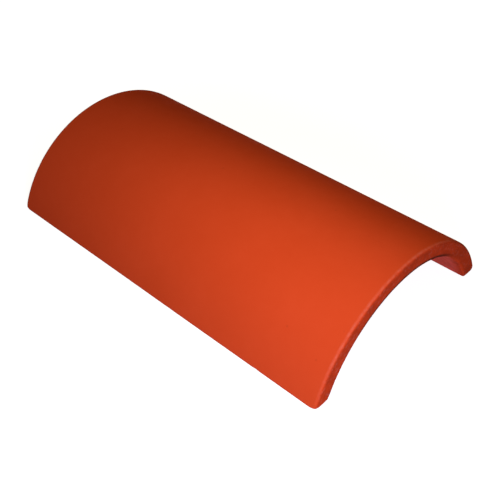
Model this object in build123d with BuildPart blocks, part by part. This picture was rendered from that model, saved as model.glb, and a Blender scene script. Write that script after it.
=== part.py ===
"""A segmental ridge tile: one plain arched piece of cast concrete that caps a roof's ridge.

Its outside is a shallow arc, a segment of a circle whose centre lies below the bed.
The soffit is a tighter arc about a centre of its own, so the wall thickens from the crown to the feet.
Both legs are cut level at the bed, and the tile stands on the two narrow feet that this leaves.
The ends are cut square, so that like tiles butt in a row with a mortar joint between them.

The ridge runs along X, the tile's width along Y, and Z is up.
The origin is on the bed, below the middle of the crown.
"""

import os
from math import sqrt

from build123d import *

# Driving dimensions, in millimetres
length = 457.0  # along the ridge, end to end
outer_radius = 143.5  # of the weathered outside
rise = 96.0  # from the bed up to the outside of the crown
crown_wall = 17.5  # from the outside in to the soffit, at the crown
foot_width = 21.0  # of the level cut under each leg
end_round = 3.0  # outside's arris across each butt end
soffit_end_round = 2.5  # soffit's arris across each butt end
foot_round = 2.0  # arrises all round the level cut of each foot

# Places worked out from them
centre_drop = outer_radius - rise  # how far the outside's centre lies below the bed
outer_half_width = sqrt(outer_radius**2 - centre_drop**2)
inner_half_width = outer_half_width - foot_width
soffit_rise = rise - crown_wall

with BuildPart() as ridge_tile:
    # The arched section, drawn on one butt end and run along the ridge
    with BuildSketch(Plane.YZ.offset(-length / 2)):
        with BuildLine():
            outside = ThreePointArc((-outer_half_width, 0), (0, rise), (outer_half_width, 0))
            right_foot = Line(outside @ 1, (inner_half_width, 0))
            soffit = ThreePointArc(right_foot @ 1, (0, soffit_rise), (-inner_half_width, 0))
            Line(soffit @ 1, outside @ 0)
        make_face()
    extrude(amount=length)

    # The arrises across both butt ends: the soffit's first, then the outside's, which is softer
    end_arcs = ridge_tile.edges().filter_by(GeomType.CIRCLE)
    fillet(end_arcs.group_by(SortBy.RADIUS)[0], soffit_end_round)
    end_arcs = ridge_tile.edges().filter_by(GeomType.CIRCLE)
    fillet(end_arcs.group_by(SortBy.RADIUS)[-1], end_round)

    # The arrises all round the level cut of each foot
    feet = ridge_tile.faces().filter_by(Axis.Z).group_by(Axis.Z)[0]
    fillet(feet.edges(), foot_round)

ridge_tile.part.label = "ridge_tile"
os.makedirs("parts", exist_ok=True)
export_step(ridge_tile.part, "parts/ridge_tile.step")
print(ridge_tile.part.bounding_box(), ridge_tile.part.volume)
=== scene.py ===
"""The looks of a segmental ridge tile: an arch of cast concrete in a smooth terracotta coat.

The tile's skin is one closed mesh, laid out as loops round the wall's long section and rows from
foot to foot, so its arrises, small nicks and soft unevenness are real shape. The stage is a plain
pale floor under two soft lamps: a low one in front of the near end and a warmer one above.
"""

import math
import random

import bmesh
import bpy
import numpy as np
from bpy.props import FloatProperty, FloatVectorProperty, IntProperty, PointerProperty
from mathutils import Matrix, Vector, noise


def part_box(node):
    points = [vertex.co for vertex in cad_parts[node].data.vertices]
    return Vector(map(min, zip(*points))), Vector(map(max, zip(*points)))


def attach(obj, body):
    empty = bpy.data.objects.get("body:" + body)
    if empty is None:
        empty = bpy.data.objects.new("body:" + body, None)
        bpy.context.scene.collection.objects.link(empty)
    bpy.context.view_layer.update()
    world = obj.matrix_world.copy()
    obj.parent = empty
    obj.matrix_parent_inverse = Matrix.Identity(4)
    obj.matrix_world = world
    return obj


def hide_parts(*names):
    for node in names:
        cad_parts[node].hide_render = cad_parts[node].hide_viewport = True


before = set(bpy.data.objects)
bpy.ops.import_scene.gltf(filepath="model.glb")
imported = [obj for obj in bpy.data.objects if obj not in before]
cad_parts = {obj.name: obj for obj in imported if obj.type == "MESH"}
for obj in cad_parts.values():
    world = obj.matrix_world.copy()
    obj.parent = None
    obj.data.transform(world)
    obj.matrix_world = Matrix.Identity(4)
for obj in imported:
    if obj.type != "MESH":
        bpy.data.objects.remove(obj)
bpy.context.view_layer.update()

bl_info = {
    "name": "Segmental Ridge Tile",
    "version": (1, 0, 0),
    "blender": (4, 5, 0),
    "location": "View3D > Sidebar > Ridge Tile",
    "description": "Builds a coated concrete ridge tile and the plain stage that it is shown on",
    "category": "Add Mesh",
}

MM = 0.001
NODE = "ridge_tile"
tile_low, tile_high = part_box(NODE)

# Nicks: the range of their radii in millimetres, and of their depths as shares of the radius
NICK_RADII = (0.9, 1.8)
NICK_DEPTHS = (0.15, 0.32)
FOOT_NICK_EVERY = 6  # each sixth nick lies on a foot's outer edge

# The coat's edge: how far below the outside it lies, how much it wavers and how softly it ends
COAT_REACH = 0.4 * MM
COAT_WAVER = 0.8 * MM
COAT_FADE = (-0.3 * MM, 0.8 * MM)

# Where the soffit takes its paler, painted-light colour: in from the butt end, and within its own
# skin
SOFFIT_FROM_END = 16 * MM
SOFFIT_SKIN = (0.4 * MM, 2.4 * MM)

# Heights above the bed over which the painted shade under the crown, and the arris wear with its
# painted highlight, come in
PAINTED_SHADE_HEIGHTS = (46 * MM, 72 * MM)
WEAR_AND_HIGHLIGHT_HEIGHTS = (6 * MM, 48 * MM)


class RidgeTileSizes(bpy.types.PropertyGroup):
    """The tile's section, its arrises and how fine its mesh is."""

    outer_radius: FloatProperty(
        name="Outside radius",
        description="Radius of the weathered outside",
        default=143.5 * MM,
        unit="LENGTH",
    )
    crown_wall: FloatProperty(
        name="Crown wall",
        description="Thickness of the wall at the crown",
        default=17.5 * MM,
        unit="LENGTH",
    )
    foot_width: FloatProperty(
        name="Foot width",
        description="Width of the level cut under each leg",
        default=21 * MM,
        unit="LENGTH",
    )
    end_round: FloatProperty(
        name="End arris",
        description="Rounding of the outside's arris at each butt end",
        default=3 * MM,
        unit="LENGTH",
    )
    soffit_end_round: FloatProperty(
        name="Soffit end arris",
        description="Rounding of the soffit's arris at each butt end",
        default=2.5 * MM,
        unit="LENGTH",
    )
    foot_round: FloatProperty(
        name="Foot arris",
        description="Rounding of the arrises round each foot",
        default=2 * MM,
        unit="LENGTH",
    )
    long_cells: IntProperty(
        name="Cells along",
        description="Mesh cells along the ridge, finer towards the ends",
        default=112,
        min=8,
    )
    arc_cells: IntProperty(
        name="Cells across",
        description="Mesh cells over the arch from foot to foot, finer towards the feet",
        default=296,
        min=8,
    )


class RidgeTileFinish(bpy.types.PropertyGroup):
    """The coat's and the bare concrete's colours, and how worn and uneven the tile is."""

    coat_colour: FloatVectorProperty(
        name="Coat",
        description="Main colour of the terracotta coat",
        default=(0.65, 0.067, 0.021),
        subtype="COLOR",
        min=0,
        max=1,
    )
    coat_deep_colour: FloatVectorProperty(
        name="Coat, deep",
        description="Colour where the coat lies thicker",
        default=(0.63, 0.064, 0.019),
        subtype="COLOR",
        min=0,
        max=1,
    )
    concrete_colour: FloatVectorProperty(
        name="Concrete",
        description="Colour of the pigmented concrete at the ends and the feet",
        default=(0.59, 0.05, 0.0125),
        subtype="COLOR",
        min=0,
        max=1,
    )
    # The soffit's concrete is painted paler than at the ends, as light falling under the arch
    soffit_lit_colour: FloatVectorProperty(
        name="Soffit",
        description="Colour of the soffit's bare concrete, paler than the ends",
        default=(0.81, 0.114, 0.076),
        subtype="COLOR",
        min=0,
        max=1,
    )
    # Shade darkens the pinholes, and is the painted shade along the soffit's arris under the crown
    shade_colour: FloatVectorProperty(
        name="Shade",
        description="Colour of pinholes and of the grime along the soffit's arris",
        default=(0.09, 0.018, 0.01),
        subtype="COLOR",
        min=0,
        max=1,
    )
    sand_colour: FloatVectorProperty(
        name="Sand",
        description="Colour of the sand grains that the ends and the worn arrises show",
        default=(0.66, 0.15, 0.11),
        subtype="COLOR",
        min=0,
        max=1,
    )
    waviness: FloatProperty(
        name="Waviness",
        description="Depth of the outside's slow unevenness",
        default=0.12 * MM,
        unit="LENGTH",
    )
    nicks: IntProperty(
        name="Nicks",
        description="Small nicks along the arrises",
        default=30,
        min=0,
    )
    seed: IntProperty(name="Seed", description="Changes where the nicks fall", default=7)


class RidgeTileStage(bpy.types.PropertyGroup):
    """Where the camera and the lamps stand, and how bright the stage is."""

    azimuth: FloatProperty(
        name="Azimuth",
        description="Camera's turn round the tile from its -Y side",
        default=math.radians(43.25),
        subtype="ANGLE",
    )
    elevation: FloatProperty(
        name="Elevation",
        description="Camera's angle above the floor",
        default=math.radians(39.27),
        subtype="ANGLE",
    )
    roll: FloatProperty(
        name="Roll",
        description="Camera's turn about its own line of sight",
        default=math.radians(-0.42),
        subtype="ANGLE",
    )
    distance: FloatProperty(
        name="Distance",
        description="From the camera to the point it looks at",
        default=0.9261,
        unit="LENGTH",
    )
    aim_right: FloatProperty(
        name="Aim right",
        description="How far the aim lies to the right of the tile's origin, across the view",
        default=30.07 * MM,
        unit="LENGTH",
    )
    aim_up: FloatProperty(
        name="Aim up",
        description="How far the aim lies above the tile's origin, across the view",
        default=-5.91 * MM,
        unit="LENGTH",
    )
    lens: FloatProperty(
        name="Lens",
        description="Focal length in millimetres on a 36 mm wide sensor",
        default=57.81,
        min=1,
    )
    shift: FloatVectorProperty(
        name="Shift",
        description="How far the frame lies off the lens's axis, as shares of its width",
        size=2,
        default=(-0.03, -0.016),
    )
    front_place: FloatVectorProperty(
        name="Front lamp",
        description="Where the low lamp stands, in front of the tile's near end and to its left",
        default=(0.594, -0.508, 0.253),
        subtype="TRANSLATION",
    )
    front_power: FloatProperty(
        name="Front power",
        description="Power of the low lamp",
        default=2.58,
        unit="POWER",
    )
    front_colour: FloatVectorProperty(
        name="Front colour",
        description="Colour of the low lamp, slightly cool",
        default=(1.0, 1.03, 1.3),
        subtype="COLOR",
        min=0,
        soft_max=1,
    )
    top_place: FloatVectorProperty(
        name="Top lamp",
        description="Where the high lamp hangs, above the near half of the tile and to its left",
        default=(0.191, -0.2, 0.471),
        subtype="TRANSLATION",
    )
    top_power: FloatProperty(
        name="Top power",
        description="Power of the high lamp",
        default=1.23,
        unit="POWER",
    )
    top_colour: FloatVectorProperty(
        name="Top colour",
        description="Colour of the high lamp, warmer than the low one",
        default=(1.0, 0.89, 0.48),
        subtype="COLOR",
        min=0,
        max=1,
    )
    lamp_size: FloatProperty(
        name="Lamp size",
        description="Width of each soft lamp",
        default=0.18,
        unit="LENGTH",
    )
    fill: FloatProperty(
        name="Fill",
        description="Strength of the even light from all round",
        default=0.1,
        min=0,
    )
    fill_colour: FloatVectorProperty(
        name="Fill colour",
        description="Colour of the even light from all round",
        default=(1.0, 0.84, 0.55),
        subtype="COLOR",
        min=0,
        max=1,
    )


class Section:
    """The tile's arched section: two arcs, each about its own centre on the middle plane."""

    def __init__(self, sizes):
        self.length = tile_high.x - tile_low.x
        self.rise = tile_high.z
        self.arris = sizes.end_round
        self.outer_radius = sizes.outer_radius
        self.outer_centre = self.rise - self.outer_radius
        half_width = math.sqrt(self.outer_radius**2 - self.outer_centre**2)
        inner_half_width = half_width - sizes.foot_width
        soffit_rise = self.rise - sizes.crown_wall
        self.soffit_radius = (inner_half_width**2 + soffit_rise**2) / (2 * soffit_rise)
        self.soffit_centre = soffit_rise - self.soffit_radius
        self.outer_sweep = math.acos(-self.outer_centre / self.outer_radius)
        self.soffit_sweep = math.acos(-self.soffit_centre / self.soffit_radius)

    def outside(self, share):
        """The outside's (y, z) at a share of its arc, from -1 at the -Y foot to 1 at the other."""
        angle = share * self.outer_sweep
        reach = self.outer_radius
        return np.array([reach * math.sin(angle), self.outer_centre + reach * math.cos(angle)])

    def soffit(self, share):
        """The soffit's (y, z) at a share of its own arc."""
        angle = share * self.soffit_sweep
        reach = self.soffit_radius
        return np.array([reach * math.sin(angle), self.soffit_centre + reach * math.cos(angle)])


def eased(cells, crowding):
    """Stations from -1 to 1, closer together towards both ends."""
    even = np.linspace(-1, 1, cells + 1)
    return (1 - crowding) * even + crowding * np.sin(even * math.pi / 2)


def wall_loop(length, sizes, end_cells=7, round_cells=6, soffit_round_cells=4):
    """One loop round the wall's long section, as x, a fixed depth and a share of the thickness.

    A point lies at x along the ridge, and at fixed + share * thickness below the outside. The loop
    runs along the outside, down the +X end, back along the soffit and up the -X end."""
    half = length / 2
    outer, inner = sizes.end_round, sizes.soffit_end_round
    run = eased(sizes.long_cells, crowding=0.88)
    quarter = np.linspace(0, math.pi / 2, round_cells + 1)[1:-1]
    soffit_quarter = np.linspace(0, math.pi / 2, soffit_round_cells + 1)[1:-1]
    down = np.linspace(0, 1, end_cells + 1)

    outside = [(x, 0, 0) for x in run * (half - outer)]
    arris = [(half - outer + outer * math.sin(a), outer * (1 - math.cos(a)), 0) for a in quarter]
    end = [(half, outer - s * (outer + inner), s) for s in down]
    soffit_arris = [
        (half - inner + inner * math.cos(a), inner * (math.sin(a) - 1), 1) for a in soffit_quarter
    ]
    soffit = [(x, 0, 1) for x in run[::-1] * (half - inner)]
    plus_end = arris + end + soffit_arris
    minus_end = [(-x, fixed, share) for x, fixed, share in plus_end[::-1]]
    return np.array(outside + plus_end + soffit + minus_end)


def inward(flat_loop):
    """Each point's unit vectors inwards and along a closed flat loop, in the loop's own plane."""
    step = np.roll(flat_loop, -1, axis=0) - np.roll(flat_loop, 1, axis=0)
    step /= np.linalg.norm(step, axis=1)[:, None]
    side = np.stack([-step[:, 1], step[:, 0]], axis=1)
    towards_middle = flat_loop.mean(axis=0) - flat_loop
    towards_middle[:, 0] = 0
    lengthwise = np.abs(side[:, 1]) > 0.5
    sign = np.sign((side * towards_middle)[lengthwise].sum())
    return side * sign, step


def foot_rows(section, loop, side, sizes, round_rows=4, inner_rows=4):
    """The rows that round a leg's end onto its level cut and close it, down to its middle line."""
    outside, soffit = section.outside(side), section.soffit(side)
    width = np.linalg.norm(soffit - outside)
    depth = loop[:, 1] + loop[:, 2] * width
    flat = np.stack([loop[:, 0], outside[0] + (soffit[0] - outside[0]) * depth / width], axis=1)
    in_plane, step = inward(flat)
    level = np.zeros(len(flat))
    corner = np.column_stack([flat, level])
    into_foot = np.column_stack([in_plane, level])
    along = np.column_stack([step, level])
    # The way up the wall from each point, square to the loop there
    lean = section.outer_sweep
    leg = np.array([0, -side * math.cos(lean), math.sin(lean)])
    up_wall = leg - (along @ leg)[:, None] * along
    up_wall /= np.linalg.norm(up_wall, axis=1)[:, None]
    angle = np.arccos(np.clip((up_wall * into_foot).sum(axis=1), -1, 1))
    setback = (sizes.foot_round / np.tan(angle / 2))[:, None]
    middle = up_wall + into_foot
    middle /= np.linalg.norm(middle, axis=1)[:, None]
    centre = corner + middle * (sizes.foot_round / np.sin(angle / 2))[:, None]
    start, stop = corner + up_wall * setback - centre, corner + into_foot * setback - centre
    turn = (math.pi - angle)[:, None]
    rows = []
    for share in np.linspace(0, 1, round_rows + 1):
        blend = np.sin((1 - share) * turn) * start + np.sin(share * turn) * stop
        rows.append(centre + blend / np.sin(turn))
    rim = rows[-1]
    spine = rim.copy()
    spine[:, 1] = (rim[:, 1].min() + rim[:, 1].max()) / 2
    # The outside's and the soffit's points meet in pairs there, so the foot closes without a seam
    half = section.length / 2
    to_outside_run = (half - sizes.end_round) / (half - sizes.soffit_end_round)
    reach = half - width / 2
    spine[:, 0] = np.clip(rim[:, 0] * np.where(loop[:, 2] == 1, to_outside_run, 1), -reach, reach)
    for share in np.linspace(0, 1, inner_rows + 1)[1:]:
        rows.append(rim + (spine - rim) * share)
    return rows


def tile_rows(section, sizes):
    """All rows of the skin, from the -Y foot's middle line over the arch to the +Y foot's."""
    loop = wall_loop(section.length, sizes)
    clear_of_foot = 2 * sizes.foot_round / (section.outer_radius * section.outer_sweep)
    rows = []
    for share in eased(sizes.arc_cells, crowding=0.4) * (1 - clear_of_foot):
        outside, soffit = section.outside(share), section.soffit(share)
        thickness = np.linalg.norm(soffit - outside)
        depth = (loop[:, 1] + loop[:, 2] * thickness)[:, None] / thickness
        rows.append(np.column_stack([loop[:, 0], outside + (soffit - outside) * depth]))
    left = foot_rows(section, loop, -1, sizes)
    right = foot_rows(section, loop, 1, sizes)
    return left[::-1] + rows + right


def skin_mesh(name, rows):
    """A closed mesh of quads between each row and the next."""
    count = len(rows[0])
    points = np.concatenate(rows)
    first = np.arange(count)
    after = (first + 1) % count
    faces = []
    for row in range(len(rows) - 1):
        low, high = row * count, (row + 1) * count
        faces.append(np.column_stack([low + first, low + after, high + after, high + first]))
    mesh = bpy.data.meshes.new(name)
    mesh.from_pydata(points.tolist(), [], np.concatenate(faces).tolist())
    return mesh


def tidy_skin(mesh, join=0.01 * MM, least_edge=0.005 * MM):
    """Joins the points that meet on each foot's middle line, and turns every face outwards."""
    work = bmesh.new()
    work.from_mesh(mesh)
    bmesh.ops.remove_doubles(work, verts=work.verts, dist=join)
    bmesh.ops.dissolve_degenerate(work, edges=work.edges, dist=least_edge)
    bmesh.ops.recalc_face_normals(work, faces=work.faces)
    work.to_mesh(mesh)
    work.free()


def smooth_step(value, low, high):
    """A smooth rise from 0 at low to 1 at high, or a fall where low is the larger."""
    share = np.clip((value - low) / (high - low), 0, 1)
    return share * share * (3 - 2 * share)


def noise_at(points, size, shift=0.0, stretch=(1, 1, 1)):
    """Smooth noise from -1 to 1 at each point, with lumps of about the given size in metres."""
    scaled = points / (size * np.array(stretch)) + shift
    return np.array([noise.noise(Vector(p)) for p in scaled])


def lumps(points, size, shift=0.0, stretch=(1, 1, 1)):
    """The same noise, from 0 to 1."""
    return 0.5 + 0.5 * noise_at(points, size, shift, stretch)


def zones(points, section):
    """How far each point lies above the soffit, from the nearer butt end and above the bed."""
    radial = np.hypot(points[:, 1], points[:, 2] - section.soffit_centre)
    from_end = section.length / 2 - np.abs(points[:, 0])
    return radial - section.soffit_radius, from_end, points[:, 2]


def nick_depths(points, section, finish, raggedness=0.35, grain=1.6 * MM, spread=1.6):
    """Depth of the small nicks along the arrises of both butt ends and the feet's outer edges."""
    draw = random.Random(finish.seed)
    depth = np.zeros(len(points))
    for number in range(finish.nicks):
        share = draw.uniform(-0.9, 0.9)
        end = draw.choice([-1, 1])
        on_soffit = draw.random() < 0.5
        place = section.soffit(share) if on_soffit else section.outside(share)
        centre = np.array([end * section.length / 2, place[0], place[1]])
        if number % FOOT_NICK_EVERY == FOOT_NICK_EVERY - 1:
            place = section.outside(end)
            centre = np.array([draw.uniform(-0.45, 0.45) * section.length, place[0], place[1]])
        radius = draw.uniform(*NICK_RADII) * MM
        deepest = draw.uniform(*NICK_DEPTHS) * radius
        away = np.linalg.norm(points - centre, axis=1)
        near = away < 2 * spread * radius
        ragged = 1 + raggedness * noise_at(points[near], grain, shift=number)
        dip = np.clip(1 - (away[near] / (spread * radius * ragged)) ** 2, 0, 1)
        depth[near] = np.maximum(depth[near], deepest * dip)
    return depth


def rubbed_corners(points, section, outer_wear=0.85 * MM, inner_wear=0.35 * MM, reach=8 * MM):
    """How the feet's rubbed corners lie back from the plain tile's, as a vector for each point.

    The outer corners are rubbed upwards too, and the inner ones only back and sideways."""
    shift = np.zeros(points.shape)
    for leg in (-1, 1):
        outer = (section.outside(leg)[0], -leg, 1, outer_wear)
        inner = (section.soffit(leg)[0], leg, 0, inner_wear)
        for end in (-1, 1):
            for corner_y, sideways, upwards, wear in (outer, inner):
                corner = np.array([end * section.length / 2, corner_y, 0])
                worn = smooth_step(np.linalg.norm(points - corner, axis=1), reach, 0)
                shift += wear * worn[:, None] * np.array([-end, sideways, upwards])
    return shift


def relief(points, section, finish, drag_depth=0.16 * MM, sand_depth=0.1 * MM):
    """How far each point of the skin lies below the plain tile's surface, never above it."""
    above_soffit, from_end, above_bed = zones(points, section)
    on_soffit = (1 - smooth_step(above_soffit, 0, 2 * MM)) * smooth_step(from_end, 1 * MM, 4 * MM)
    near_end = 1 - smooth_step(from_end, 0, 5 * MM)
    near_foot = 1 - smooth_step(above_bed, 0, 4 * MM)
    broad = lumps(points, 70 * MM, stretch=(1.8, 1, 1))
    finer = lumps(points, 26 * MM, shift=5.0)
    drag = lumps(points, 5 * MM, shift=9.0, stretch=(14, 1, 1))
    sand = lumps(points, 3.5 * MM, shift=13.0)
    depth = finish.waviness * (broad + 0.3 * finer)
    depth += drag_depth * on_soffit * drag
    depth += sand_depth * np.maximum(near_end, near_foot) * sand
    return depth + nick_depths(points, section, finish)


def press_relief(mesh, section, finish):
    """Lowers the skin by its relief along its own normals, and keeps it inside the tile's box."""
    count = len(mesh.vertices)
    points = np.zeros(count * 3)
    normals = np.zeros(count * 3)
    mesh.vertices.foreach_get("co", points)
    mesh.vertex_normals.foreach_get("vector", normals)
    points, normals = points.reshape(-1, 3), normals.reshape(-1, 3)
    corners = rubbed_corners(points, section)
    points = points - normals * relief(points, section, finish)[:, None] + corners
    points = np.clip(points, np.array(tile_low), np.array(tile_high))
    mesh.vertices.foreach_set("co", points.ravel())
    mesh.update()


def new_group(name, inputs, outputs):
    """An empty shader node group with named sockets, its node maker and its two ends."""
    group = bpy.data.node_groups.new(name, "ShaderNodeTree")
    for label, kind, value in inputs:
        socket = group.interface.new_socket(label, in_out="INPUT", socket_type=kind)
        if value is not None:
            socket.default_value = value
    for label, kind in outputs:
        group.interface.new_socket(label, in_out="OUTPUT", socket_type=kind)
    return group, group.nodes.new("NodeGroupInput"), group.nodes.new("NodeGroupOutput")


class Wiring:
    """Short ways to add and join the nodes of one tree."""

    def __init__(self, tree):
        self.tree = tree

    def node(self, kind, inputs=None, **settings):
        made = self.tree.nodes.new(kind)
        for name, value in settings.items():
            setattr(made, name, value)
        for name, value in (inputs or {}).items():
            self.feed(made.inputs[name], value)
        return made

    def feed(self, socket, value):
        if isinstance(value, bpy.types.NodeSocket):
            self.tree.links.new(value, socket)
        else:
            socket.default_value = value

    def maths(self, operation, first, second=0.0, third=0.0, clamp=False):
        made = self.node("ShaderNodeMath", operation=operation, use_clamp=clamp)
        for socket, value in zip(made.inputs, (first, second, third)):
            self.feed(socket, value)
        return made.outputs["Value"]

    def ramp(self, value, low, high, to_low=0.0, to_high=1.0):
        """Rises smoothly from to_low to to_high as the value goes from low to high."""
        made = self.node("ShaderNodeMapRange", interpolation_type="SMOOTHSTEP")
        settings = {"Value": value, "From Min": low, "From Max": high}
        settings |= {"To Min": to_low, "To Max": to_high}
        for name, setting in settings.items():
            self.feed(made.inputs[name], setting)
        return made.outputs["Result"]

    def blend(self, factor, first, second):
        """Mixes two colours or two values."""
        made = self.node("ShaderNodeMix", data_type="RGBA")
        self.feed(made.inputs["Factor"], factor)
        colours = [s for s in made.inputs if s.type == "RGBA"]
        self.feed(colours[0], first)
        self.feed(colours[1], second)
        return next(s for s in made.outputs if s.type == "RGBA")

    def noise(self, vector, scale, detail=2.0, roughness=0.5):
        made = self.node("ShaderNodeTexNoise")
        settings = {"Vector": vector, "Scale": scale, "Detail": detail, "Roughness": roughness}
        for name, setting in settings.items():
            self.feed(made.inputs[name], setting)
        return made.outputs["Fac"]

    def group(self, group, inputs):
        return self.node("ShaderNodeGroup", node_tree=group, inputs=inputs)


def zone_group():
    """Where a point lies: its depth under each face, and how near it is to the arrises."""
    group, start, end = new_group(
        "Tile zones",
        [
            ("Vector", "NodeSocketVector", None),
            ("Half length", "NodeSocketFloat", 0.2),
            ("Outside radius", "NodeSocketFloat", 0.14),
            ("Outside centre", "NodeSocketFloat", -0.05),
            ("Soffit radius", "NodeSocketFloat", 0.12),
            ("Soffit centre", "NodeSocketFloat", -0.04),
            ("Arris width", "NodeSocketFloat", 0.003),
        ],
        [
            ("Depth", "NodeSocketFloat"),
            ("Soffit depth", "NodeSocketFloat"),
            ("From end", "NodeSocketFloat"),
            ("Height", "NodeSocketFloat"),
            ("Arris", "NodeSocketFloat"),
            ("Soffit arris", "NodeSocketFloat"),
        ],
    )
    w = Wiring(group)
    place = w.node("ShaderNodeSeparateXYZ", {"Vector": start.outputs["Vector"]})
    y_squared = w.maths("MULTIPLY", place.outputs["Y"], place.outputs["Y"])

    def radial(centre):
        height = w.maths("SUBTRACT", place.outputs["Z"], start.outputs[centre])
        return w.maths("SQRT", w.maths("MULTIPLY_ADD", height, height, y_squared))

    depth = w.maths("SUBTRACT", start.outputs["Outside radius"], radial("Outside centre"))
    soffit_depth = w.maths("SUBTRACT", radial("Soffit centre"), start.outputs["Soffit radius"])
    along = w.maths("ABSOLUTE", place.outputs["X"])
    from_end = w.maths("SUBTRACT", start.outputs["Half length"], along)
    width = start.outputs["Arris width"]
    half_width = w.maths("MULTIPLY", width, 0.5)
    reach = w.maths("ADD", width, half_width)

    def near(distance):
        return w.ramp(distance, half_width, reach, 1.0, 0.0)

    near_end, near_bed = near(from_end), near(place.outputs["Z"])
    near_outside = w.ramp(depth, 0.0, half_width, 1.0, 0.0)
    end_arris = w.maths("MULTIPLY", near_end, near_outside)
    foot_arris = w.maths("MULTIPLY", near_bed, w.maths("MAXIMUM", near_outside, near_end))
    w.feed(end.inputs["Depth"], depth)
    w.feed(end.inputs["Soffit depth"], soffit_depth)
    w.feed(end.inputs["From end"], from_end)
    w.feed(end.inputs["Height"], place.outputs["Z"])
    w.feed(end.inputs["Arris"], w.maths("MAXIMUM", end_arris, foot_arris))
    # The band round the soffit's arris reaches over the end face, and further along the soffit
    band = w.maths("MULTIPLY", width, 0.75)
    face_reach = w.maths("MULTIPLY", width, 1.7)
    soffit_reach = w.maths("MULTIPLY", width, 2.6)
    over_face = w.ramp(soffit_depth, band, face_reach, 1.0, 0.0)
    along_soffit = w.ramp(from_end, band, soffit_reach, 1.0, 0.0)
    w.feed(end.inputs["Soffit arris"], w.maths("MULTIPLY", over_face, along_soffit))
    return group


def grain_group():
    """Fine sand grain with scattered pinholes, as a height and a tone."""
    group, start, end = new_group(
        "Sand grain",
        [
            ("Vector", "NodeSocketVector", None),
            ("Grain scale", "NodeSocketFloat", 1400.0),
            ("Pinhole scale", "NodeSocketFloat", 130.0),
            ("Pinhole share", "NodeSocketFloat", 0.3),
        ],
        [
            ("Height", "NodeSocketFloat"),
            ("Tone", "NodeSocketFloat"),
            ("Pinholes", "NodeSocketFloat"),
        ],
    )
    w = Wiring(group)
    vector = start.outputs["Vector"]
    grain = w.noise(vector, start.outputs["Grain scale"], detail=3.0, roughness=0.6)
    coarse_scale = w.maths("MULTIPLY", start.outputs["Grain scale"], 0.3)
    coarse = w.noise(vector, coarse_scale, detail=2.0)
    pinhole_scale = start.outputs["Pinhole scale"]
    cells = w.node("ShaderNodeTexVoronoi", {"Vector": vector, "Scale": pinhole_scale})
    hole = w.ramp(cells.outputs["Distance"], 0.06, 0.16, 1.0, 0.0)
    pick = w.node("ShaderNodeSeparateColor", {"Color": cells.outputs["Color"]})
    chosen = w.maths("LESS_THAN", pick.outputs["Red"], start.outputs["Pinhole share"])
    pinholes = w.maths("MULTIPLY", hole, chosen)
    grain_height = w.maths("MULTIPLY_ADD", coarse, 0.6, w.maths("MULTIPLY", grain, 0.4))
    w.feed(end.inputs["Height"], w.maths("SUBTRACT", grain_height, pinholes))
    w.feed(end.inputs["Tone"], coarse)
    w.feed(end.inputs["Pinholes"], pinholes)
    return group


def mottle_group():
    """Slow cloudy variation in two sizes, from 0 to 1, for a coat, bare concrete or a floor."""
    group, start, end = new_group(
        "Cloudy mottle",
        [
            ("Vector", "NodeSocketVector", None),
            ("Cloud scale", "NodeSocketFloat", 14.0),
            ("Patch scale", "NodeSocketFloat", 60.0),
        ],
        [("Cloud", "NodeSocketFloat"), ("Patch", "NodeSocketFloat")],
    )
    w = Wiring(group)
    vector = start.outputs["Vector"]
    cloud = w.noise(vector, start.outputs["Cloud scale"], detail=3.0)
    patch = w.noise(vector, start.outputs["Patch scale"], detail=4.0, roughness=0.6)
    w.feed(end.inputs["Cloud"], w.ramp(cloud, 0.3, 0.7))
    w.feed(end.inputs["Patch"], w.ramp(patch, 0.32, 0.68))
    return group


def wear_and_highlight_group():
    """Broken wear along an arris, which also paints a highlight there, from a mask of the arris."""
    group, start, end = new_group(
        "Arris wear and highlight",
        [
            ("Vector", "NodeSocketVector", None),
            ("Arris", "NodeSocketFloat", 0.0),
            ("Break scale", "NodeSocketFloat", 220.0),
            ("Amount", "NodeSocketFloat", 0.5),
        ],
        [("Wear and highlight", "NodeSocketFloat")],
    )
    w = Wiring(group)
    vector, scale = start.outputs["Vector"], start.outputs["Break scale"]
    broken = w.ramp(w.noise(vector, scale, detail=4.0, roughness=0.65), 0.42, 0.66, 0.4, 1.0)
    worn = w.maths("MULTIPLY", start.outputs["Arris"], broken)
    w.feed(end.inputs["Wear and highlight"], w.maths("MULTIPLY", worn, start.outputs["Amount"], clamp=True))
    return group


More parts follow.
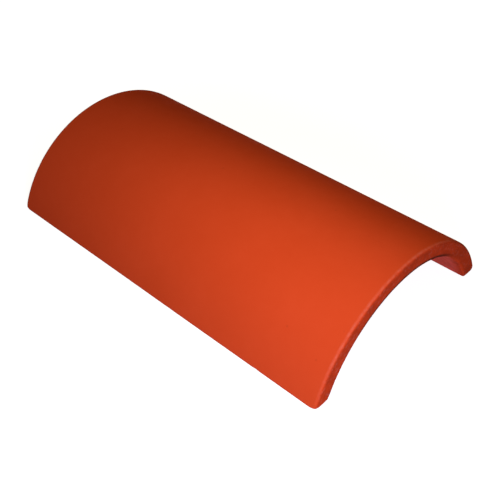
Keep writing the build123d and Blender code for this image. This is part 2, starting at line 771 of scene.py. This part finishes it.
def coated_concrete(groups, section, finish):
    """Smooth terracotta coat over the outside, and bare pigmented concrete everywhere else."""
    material = bpy.data.materials.new("Terracotta coated concrete")
    material.use_nodes = True
    w = Wiring(material.node_tree)
    shader = material.node_tree.nodes["Principled BSDF"]
    vector = w.node("ShaderNodeTexCoord").outputs["Object"]

    zone = w.group(
        groups["zone"],
        {
            "Vector": vector,
            "Half length": section.length / 2,
            "Outside radius": section.outer_radius,
            "Outside centre": section.outer_centre,
            "Soffit radius": section.soffit_radius,
            "Soffit centre": section.soffit_centre,
            "Arris width": section.arris,
        },
    )
    mottle = w.group(groups["mottle"], {"Vector": vector, "Cloud scale": 13.0, "Patch scale": 75.0})
    coat_grain = w.group(
        groups["grain"],
        {"Vector": vector, "Grain scale": 1700.0, "Pinhole scale": 95.0, "Pinhole share": 0.03},
    )
    cut_grain = w.group(
        groups["grain"],
        {"Vector": vector, "Grain scale": 1100.0, "Pinhole scale": 260.0, "Pinhole share": 0.35},
    )
    # Wear and a painted highlight along the arrises, both less towards the feet
    amount = w.ramp(zone.outputs["Height"], *WEAR_AND_HIGHLIGHT_HEIGHTS, 0.1, 0.62)
    wear = w.group(
        groups["wear"], {"Vector": vector, "Arris": zone.outputs["Arris"], "Amount": amount}
    )

    # The coat ends in a slightly uneven line just past the outside's arrises
    waver = w.noise(vector, 55.0, detail=3.0)
    reach = w.maths("MULTIPLY_ADD", waver, COAT_WAVER, COAT_REACH)
    bare = w.ramp(w.maths("SUBTRACT", zone.outputs["Depth"], reach), *COAT_FADE)

    cloud, patch = mottle.outputs["Cloud"], mottle.outputs["Patch"]
    coat = w.blend(cloud, (*finish.coat_colour, 1), (*finish.coat_deep_colour, 1))
    coat = w.blend(w.ramp(patch, 0.0, 1.0, 0.0, 0.1), coat, (*finish.concrete_colour, 1))
    # The soffit is painted paler than the ends' concrete, as light falling under the arch
    past_arris = w.ramp(zone.outputs["From end"], 0.0, SOFFIT_FROM_END)
    at_soffit = w.ramp(zone.outputs["Soffit depth"], *SOFFIT_SKIN, 1.0, 0.0)
    on_soffit = w.maths("MULTIPLY", past_arris, at_soffit)
    concrete = w.blend(on_soffit, (*finish.concrete_colour, 1), (*finish.soffit_lit_colour, 1))
    concrete = w.blend(
        w.ramp(cut_grain.outputs["Tone"], 0.52, 0.74, 0.0, 0.4), concrete, (*finish.sand_colour, 1)
    )
    concrete = w.blend(w.ramp(patch, 0.2, 0.9, 0.0, 0.18), concrete, (*finish.shade_colour, 1))
    # Painted shade under the crown, along the soffit's arris, which fades out down both legs
    under_crown = w.ramp(zone.outputs["Height"], *PAINTED_SHADE_HEIGHTS)
    painted_shade = w.maths("MULTIPLY", zone.outputs["Soffit arris"], under_crown)
    concrete = w.blend(painted_shade, concrete, (*finish.shade_colour, 1))
    colour = w.blend(bare, coat, concrete)
    # Sand colour along the arrises: wear, and also a painted highlight along them
    colour = w.blend(wear.outputs["Wear and highlight"], colour, (*finish.sand_colour, 1))
    holes = w.blend(bare, coat_grain.outputs["Pinholes"], cut_grain.outputs["Pinholes"])
    hole_shade = w.maths("MULTIPLY", holes, w.ramp(bare, 0.0, 1.0, 0.12, 0.35))
    colour = w.blend(hole_shade, colour, (*finish.shade_colour, 1))
    w.feed(shader.inputs["Base Color"], colour)

    # Matt all over, and more so where the concrete is bare or worn
    rough_coat = w.ramp(patch, 0.0, 1.0, 0.64, 0.7)
    rough = w.maths("MULTIPLY_ADD", bare, 0.2, rough_coat)
    w.feed(shader.inputs["Roughness"], w.maths("MULTIPLY_ADD", wear.outputs["Wear and highlight"], 0.1, rough))
    shader.inputs["Specular IOR Level"].default_value = 0.005

    fine = w.blend(bare, coat_grain.outputs["Height"], cut_grain.outputs["Height"])
    depth = w.ramp(bare, 0.0, 1.0, 0.12, 0.5)
    bump = w.node("ShaderNodeBump", {"Strength": 0.35, "Distance": 0.4 * MM})
    w.feed(bump.inputs["Height"], w.maths("MULTIPLY", fine, depth))
    w.feed(shader.inputs["Normal"], bump.outputs["Normal"])
    return material


def seen_directly(w):
    """1 where the camera, a gloss or clear glass looks at a surface or the backdrop, else 0."""
    path = w.node("ShaderNodeLightPath")
    seen = w.maths("MAXIMUM", path.outputs["Is Camera Ray"], path.outputs["Is Glossy Ray"])
    return w.maths("MAXIMUM", seen, path.outputs["Is Transmission Ray"])


def pale_floor(groups, near_lift=0.88, near=0.2, far=0.6):
    """A pale sheet that looks white, but for the soft shadow round the tile.

    Seen directly it glows by near_lift as far out as near, and white from far onwards."""
    material = bpy.data.materials.new("Pale studio floor")
    material.use_nodes = True
    w = Wiring(material.node_tree)
    w.tree.nodes.remove(w.tree.nodes["Principled BSDF"])
    vector = w.node("ShaderNodeTexCoord").outputs["Object"]
    mottle = w.group(groups["mottle"], {"Vector": vector, "Cloud scale": 3.0})
    paper, paper_deep = (0.6, 0.6, 0.68, 1), (0.59, 0.59, 0.66, 1)
    paper = w.blend(mottle.outputs["Cloud"], paper, paper_deep)
    sheet = w.node("ShaderNodeBsdfDiffuse", {"Color": paper})
    away = w.node("ShaderNodeVectorMath", {"Vector": vector}, operation="LENGTH").outputs["Value"]
    lift = w.maths("MULTIPLY", seen_directly(w), w.ramp(away, near, far, near_lift, 1.0))
    glow = w.node("ShaderNodeEmission", {"Strength": lift})
    both = w.node("ShaderNodeAddShader")
    w.feed(both.inputs[0], sheet.outputs["BSDF"])
    w.feed(both.inputs[1], glow.outputs["Emission"])
    w.feed(w.tree.nodes["Material Output"].inputs["Surface"], both.outputs["Shader"])
    return material


def shared_groups():
    """The shader node groups, built once."""
    makers = {
        "zone": ("Tile zones", zone_group),
        "grain": ("Sand grain", grain_group),
        "mottle": ("Cloudy mottle", mottle_group),
        "wear": ("Arris wear and highlight", wear_and_highlight_group),
    }
    return {key: bpy.data.node_groups.get(name) or make() for key, (name, make) in makers.items()}


class RIDGETILE_OT_add_tile(bpy.types.Operator):
    """Build the tile's skin with its arrises and nicks, and coat it"""

    bl_idname = "ridge_tile.add_tile"
    bl_label = "Add Ridge Tile"

    def execute(self, context):
        sizes = context.scene.ridge_tile_sizes
        finish = context.scene.ridge_tile_finish
        section = Section(sizes)
        mesh = skin_mesh("arched_tile", tile_rows(section, sizes))
        tidy_skin(mesh)
        press_relief(mesh, section, finish)
        mesh.shade_smooth()
        mesh.materials.append(coated_concrete(shared_groups(), section, finish))
        tile = bpy.data.objects.new("arched_tile", mesh)
        context.scene.collection.objects.link(tile)
        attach(tile, "root")
        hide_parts(NODE)
        return {"FINISHED"}


def view_axes(stage):
    """The camera's right, up and back directions."""
    a, e = stage.azimuth, stage.elevation
    back = Vector((math.sin(a) * math.cos(e), -math.cos(a) * math.cos(e), math.sin(e)))
    right = (-back).cross(Vector((0, 0, 1))).normalized()
    up = back.cross(right)
    turn = Matrix.Rotation(stage.roll, 3, back)
    return turn @ right, turn @ up, back


def add_camera(scene, stage):
    """The camera at the photograph's viewing angle."""
    right, up, back = view_axes(stage)
    data = bpy.data.cameras.new("Camera")
    data.sensor_width = 36
    data.lens = stage.lens
    data.shift_x, data.shift_y = stage.shift
    data.clip_start = 0.01
    camera = bpy.data.objects.new("Camera", data)
    scene.collection.objects.link(camera)
    aim = right * stage.aim_right + up * stage.aim_up
    turned = Matrix((right, up, back)).transposed().to_4x4()
    camera.matrix_world = Matrix.Translation(aim + back * stage.distance) @ turned
    scene.camera = camera


def add_lamp(scene, name, place, aim, size, power, colour):
    """A square soft lamp at a place, turned to its aim."""
    data = bpy.data.lights.new(name, "AREA")
    data.shape = "SQUARE"
    data.size = size
    data.energy = power
    data.color = colour
    lamp = bpy.data.objects.new(name, data)
    scene.collection.objects.link(lamp)
    lamp.location = place
    lamp.rotation_mode = "QUATERNION"
    lamp.rotation_quaternion = (Vector(aim) - Vector(place)).to_track_quat("-Z", "Y")
    lamp.visible_camera = False


def add_floor(scene, half_size=6.0):
    """A wide flat floor at the bed's level."""
    mesh = bpy.data.meshes.new("floor")
    turns = ((-1, -1), (1, -1), (1, 1), (-1, 1))
    corners = [(half_size * x, half_size * y, tile_low.z) for x, y in turns]
    mesh.from_pydata(corners, [], [range(len(corners))])
    mesh.materials.append(pale_floor(shared_groups()))
    floor = bpy.data.objects.new("floor", mesh)
    scene.collection.objects.link(floor)


def add_world(scene, stage):
    """An even, slightly warm light from all round, seen by the camera as plain white."""
    world = bpy.data.worlds.new("Pale studio")
    world.use_nodes = True
    w = Wiring(world.node_tree)
    seen = seen_directly(w)
    backdrop = w.tree.nodes["Background"]
    w.feed(backdrop.inputs["Color"], w.blend(seen, (*stage.fill_colour, 1), (1, 1, 1, 1)))
    w.feed(backdrop.inputs["Strength"], w.ramp(seen, 0.0, 1.0, stage.fill, 1.0))
    scene.world = world


class RIDGETILE_OT_add_stage(bpy.types.Operator):
    """Add the pale floor, the soft light and the camera"""

    bl_idname = "ridge_tile.add_stage"
    bl_label = "Add Stage"

    def execute(self, context):
        scene = context.scene
        stage = scene.ridge_tile_stage
        add_camera(scene, stage)
        middle = (tile_low + tile_high) / 2
        add_floor(scene)
        add_world(scene, stage)
        for name, place, power, colour in (
            ("Front lamp", stage.front_place, stage.front_power, stage.front_colour),
            ("Top lamp", stage.top_place, stage.top_power, stage.top_colour),
        ):
            add_lamp(scene, name, place, middle, stage.lamp_size, power, colour)
        scene.view_settings.view_transform = "Standard"
        return {"FINISHED"}


class RIDGETILE_PT_panel(bpy.types.Panel):
    """The tile's and the stage's settings"""

    bl_idname = "RIDGETILE_PT_panel"
    bl_label = "Ridge Tile"
    bl_space_type = "VIEW_3D"
    bl_region_type = "UI"
    bl_category = "Ridge Tile"

    def draw(self, context):
        scene = context.scene
        for operator, groups in (
            (RIDGETILE_OT_add_tile, (scene.ridge_tile_sizes, scene.ridge_tile_finish)),
            (RIDGETILE_OT_add_stage, (scene.ridge_tile_stage,)),
        ):
            box = self.layout.box()
            for group in groups:
                for name in group.__annotations__:
                    box.prop(group, name)
            box.operator(operator.bl_idname)


CLASSES = (
    RidgeTileSizes,
    RidgeTileFinish,
    RidgeTileStage,
    RIDGETILE_OT_add_tile,
    RIDGETILE_OT_add_stage,
    RIDGETILE_PT_panel,
)


def register():
    for each in CLASSES:
        bpy.utils.register_class(each)
    bpy.types.Scene.ridge_tile_sizes = PointerProperty(type=RidgeTileSizes)
    bpy.types.Scene.ridge_tile_finish = PointerProperty(type=RidgeTileFinish)
    bpy.types.Scene.ridge_tile_stage = PointerProperty(type=RidgeTileStage)


def unregister():
    del bpy.types.Scene.ridge_tile_stage
    del bpy.types.Scene.ridge_tile_finish
    del bpy.types.Scene.ridge_tile_sizes
    for each in reversed(CLASSES):
        bpy.utils.unregister_class(each)


def main():
    """Builds the tile and its stage."""
    register()
    bpy.ops.ridge_tile.add_tile()
    bpy.ops.ridge_tile.add_stage()
    bpy.context.view_layer.update()


if __name__ == "__main__":
    main()
